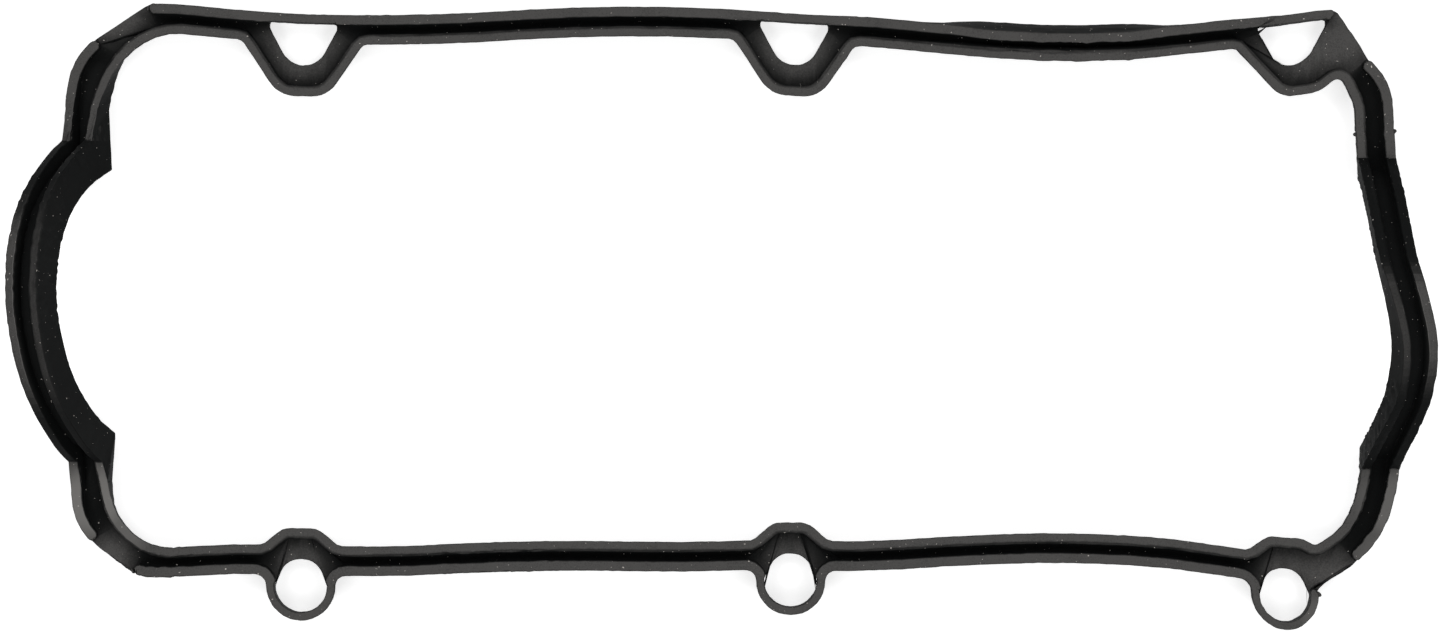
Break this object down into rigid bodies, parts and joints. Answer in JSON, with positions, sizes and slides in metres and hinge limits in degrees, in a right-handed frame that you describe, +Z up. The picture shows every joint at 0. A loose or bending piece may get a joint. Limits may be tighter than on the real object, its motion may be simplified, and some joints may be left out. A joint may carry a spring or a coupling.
{
  "type": "valve cover gasket",
  "caption": "Moulded black rubber frame with a groove between two rails, D-shaped and round stud openings, and an arch at each end that clears a camshaft bearing cap.",
  "frame": {"origin": "centre of the bounding box's bottom face, on the plane that the sealing lands rest on", "axes": "+X along the engine towards the end with the cut-off corner, +Y across it towards the side with the D-shaped openings, +Z up out of the groove"},
  "size_m": [0.4096, 0.1812, 0.0381],
  "materials": {
    "gasket": "matte"
  },
  "bodies": {
    "root": {"gasket": "gasket"}
  },
  "joints": []
}
